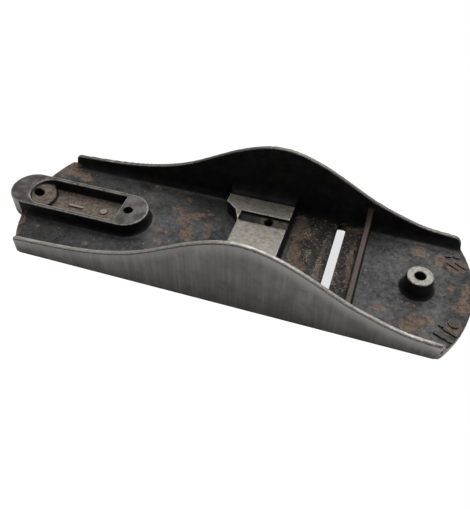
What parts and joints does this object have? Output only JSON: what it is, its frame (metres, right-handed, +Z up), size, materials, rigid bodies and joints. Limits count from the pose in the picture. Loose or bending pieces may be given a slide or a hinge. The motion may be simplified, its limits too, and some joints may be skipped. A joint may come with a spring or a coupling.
{
  "type": "bench plane body",
  "caption": "Bare cast-iron body of a wide smoothing plane: flat sole with a mouth slot, two curved cheeks, frog seat, cross rib, knob boss and tote seat.",
  "frame": {"origin": "middle of the overall length and width, on the sole", "axes": "+X along the sole towards the toe, +Y towards the left cheek, +Z up from the sole"},
  "size_m": [0.2513, 0.073, 0.0444],
  "materials": {
    "japanned_iron": "old black japanning, satin, worn to brown in patches",
    "ground_iron": "ground cheeks and sole, fine grinding lines, dark patina",
    "machined_iron": "milled lands, bright, faint cutter marks and light rust"
  },
  "bodies": {
    "root": {"left_cheek": "ground_iron", "right_cheek": "ground_iron", "heel_floor": "japanned_iron", "toe_floor": "japanned_iron", "cross_rib": "japanned_iron", "knob_boss": "japanned_iron", "tote_seat_rear_pad": "japanned_iron", "tote_seat_rails": "japanned_iron", "tote_seat_front_pad": "japanned_iron", "frog_land_middle": "machined_iron", "frog_screw_pad_left": "japanned_iron", "frog_screw_pad_right": "japanned_iron", "frog_land_left": "machined_iron", "frog_land_right": "machined_iron", "toe_marks": "japanned_iron", "seat_marks": "japanned_iron"}
  },
  "joints": []
}
